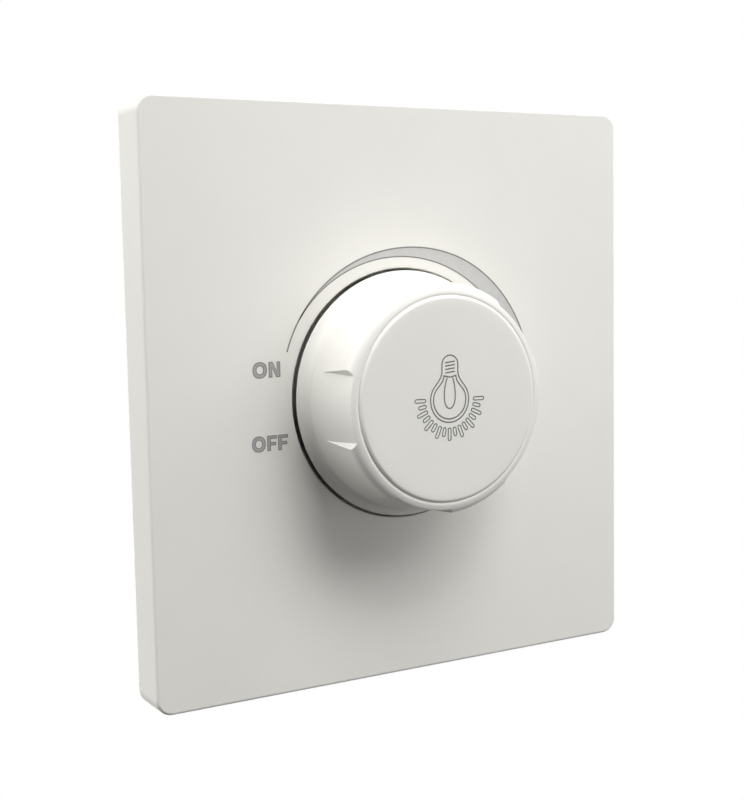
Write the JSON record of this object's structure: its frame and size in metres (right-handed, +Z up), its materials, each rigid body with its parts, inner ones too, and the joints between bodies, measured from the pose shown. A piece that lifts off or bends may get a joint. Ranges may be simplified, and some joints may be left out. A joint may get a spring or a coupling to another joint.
{
  "type": "rotary wall dimmer switch",
  "caption": "Square white wall plate with a round lobed turning knob at its centre and the dimmer module with wire terminals in a housing behind it.",
  "frame": {"origin": "centre of the wall plane between the two wall screw slots, on the knob's axis", "axes": "+X to the right as seen from the room, +Y into the wall, +Z up"},
  "size_m": [0.086, 0.0479, 0.09],
  "materials": {
    "white_moulding": "satin gloss moulding",
    "black_moulding": "matte moulding",
    "pale_moulding": "matte moulding",
    "phenolic": "pressed phenolic",
    "zinc_steel": "zinc plated",
    "shaft_alloy": "turned",
    "sink_alloy": "rolled",
    "tinned_metal": "tinned",
    "brass": "bright",
    "laminate": "paper laminate",
    "black_epoxy": "moulded epoxy",
    "ferrite": "sintered ferrite",
    "copper_wire": "enamelled wire",
    "film_case": "moulded case",
    "ceramic": "dipped ceramic",
    "resistor_lacquer": "lacquered",
    "glass_blue": "glazed"
  },
  "bodies": {
    "base": {"choke_core": "ferrite", "choke_winding": "copper_wire", "circuit_board": "laminate", "diac": "glass_blue", "face_plate": "white_moulding", "film_capacitor": "film_case", "fuse": "ceramic", "heat_sink": "sink_alloy", "housing_screws": "zinc_steel", "line_terminal": "brass", "load_terminal": "brass", "mounting_frame": "white_moulding", "pot_bush": "zinc_steel", "pot_cover": "zinc_steel", "pot_nut": "zinc_steel", "pot_terminals": "tinned_metal", "pot_wafer": "phenolic", "pot_washer": "zinc_steel", "rear_housing": "black_moulding", "resistors": "resistor_lacquer", "switch_case": "phenolic", "switch_tags": "tinned_metal", "terminal_screws": "zinc_steel", "timing_capacitors": "ceramic", "triac_leadframe": "tinned_metal", "triac_nut": "zinc_steel", "triac_package": "black_epoxy", "triac_screw": "zinc_steel"},
    "knob": {"knob_body": "white_moulding", "knob_cap": "white_moulding", "pot_shaft": "shaft_alloy", "shaft_clip": "zinc_steel", "pot_rotor": "pale_moulding", "pot_wiper": "brass"}
  },
  "joints": [
    {"name": "knob_turn", "type": "hinge", "parent": "base", "child": "knob", "pos_m": [0, 0, 0], "axis": [0, 1, 0], "range_deg": [0, 270]}
  ]
}
